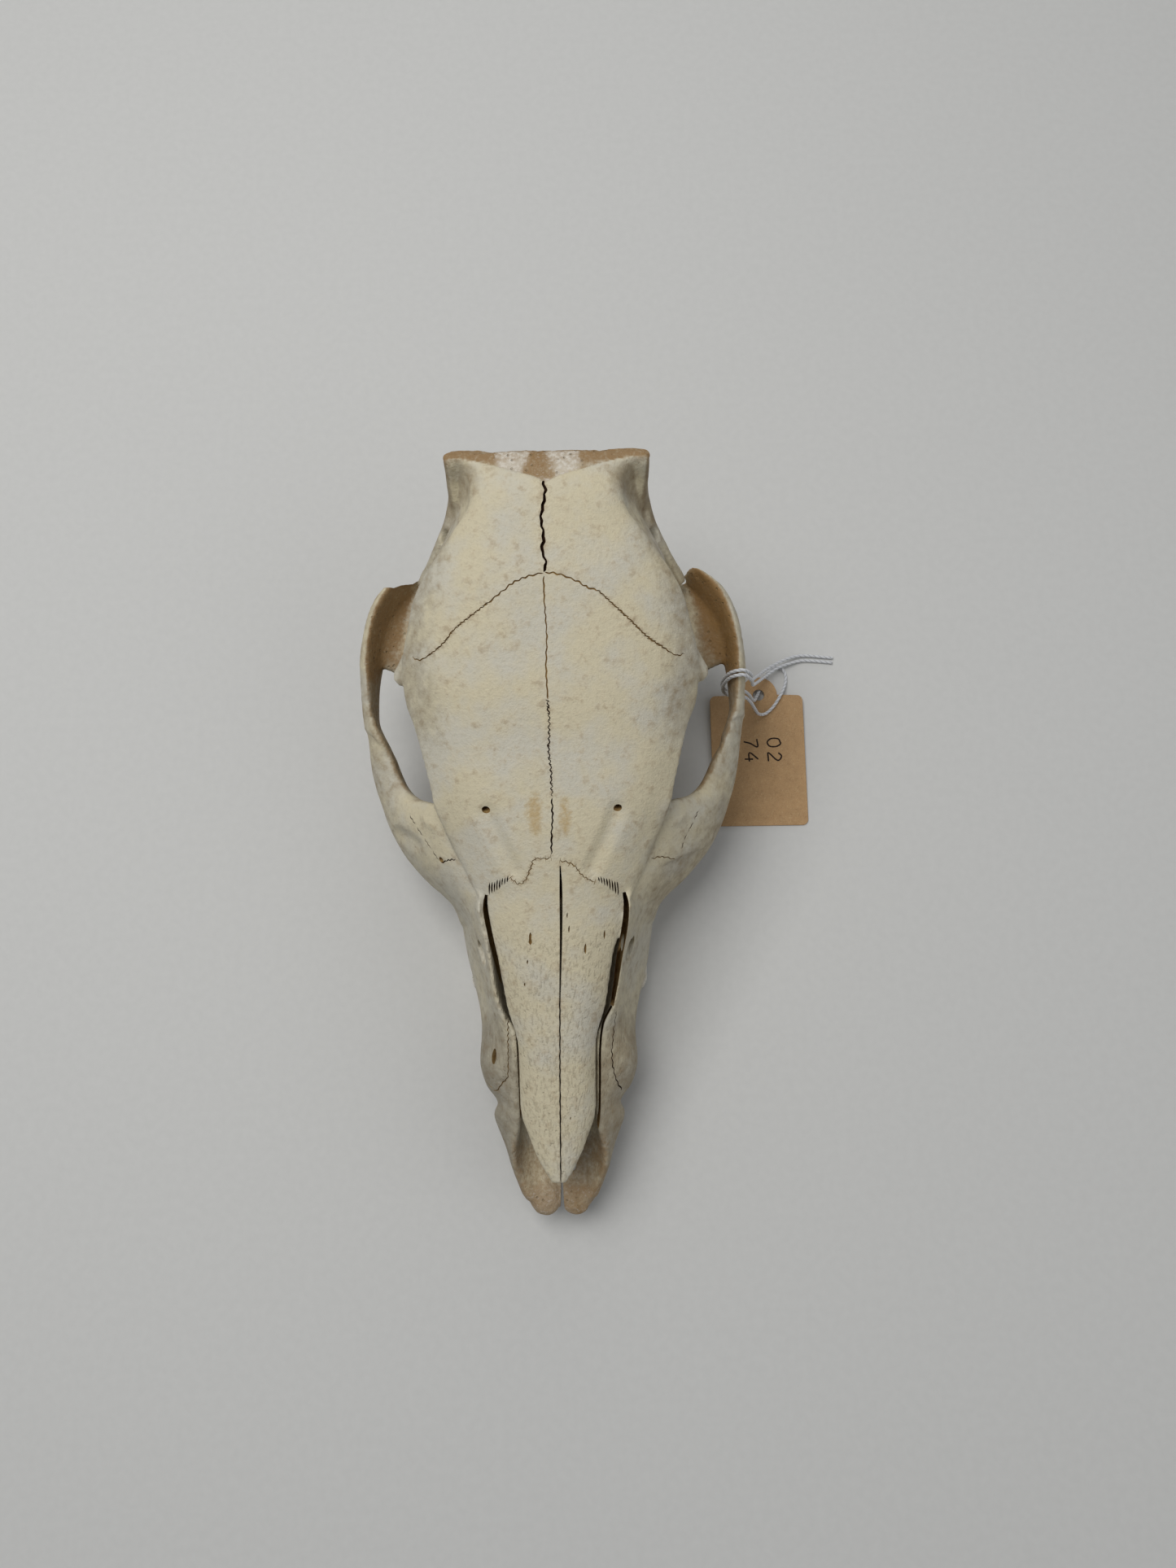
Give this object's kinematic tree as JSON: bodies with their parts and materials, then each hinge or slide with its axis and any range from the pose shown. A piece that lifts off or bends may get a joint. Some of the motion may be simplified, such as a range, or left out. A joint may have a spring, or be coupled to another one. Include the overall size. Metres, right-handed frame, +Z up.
{
  "type": "feral piglet skull",
  "caption": "Dry bone skull of a young pig without its lower jaw, with cheek teeth in place and a card tag tied by string to one cheek arch.",
  "frame": {"origin": "on the surface the skull stands on, under the middle of the skull's own bounding box, with the tag and the string left out", "axes": "-Y towards the tip of the snout, +Y towards the nuchal crest, +X towards the side with the tag, +Z up"},
  "size_m": [0.1441, 0.1991, 0.089],
  "materials": {
    "bone": "dry bone, matt, with a faint sheen on the roof",
    "enamel": "worn tooth enamel, glossy",
    "kraft_card": "brown kraft card, matt",
    "cotton": "twisted white cotton"
  },
  "bodies": {
    "root": {"cranium": "bone", "premolar_2_left": "enamel", "premolar_2_right": "enamel", "premolar_3_left": "enamel", "premolar_3_right": "enamel", "premolar_4_left": "enamel", "premolar_4_right": "enamel", "molar_1_left": "enamel", "molar_1_right": "enamel", "tag": "kraft_card", "string": "cotton"}
  },
  "joints": []
}
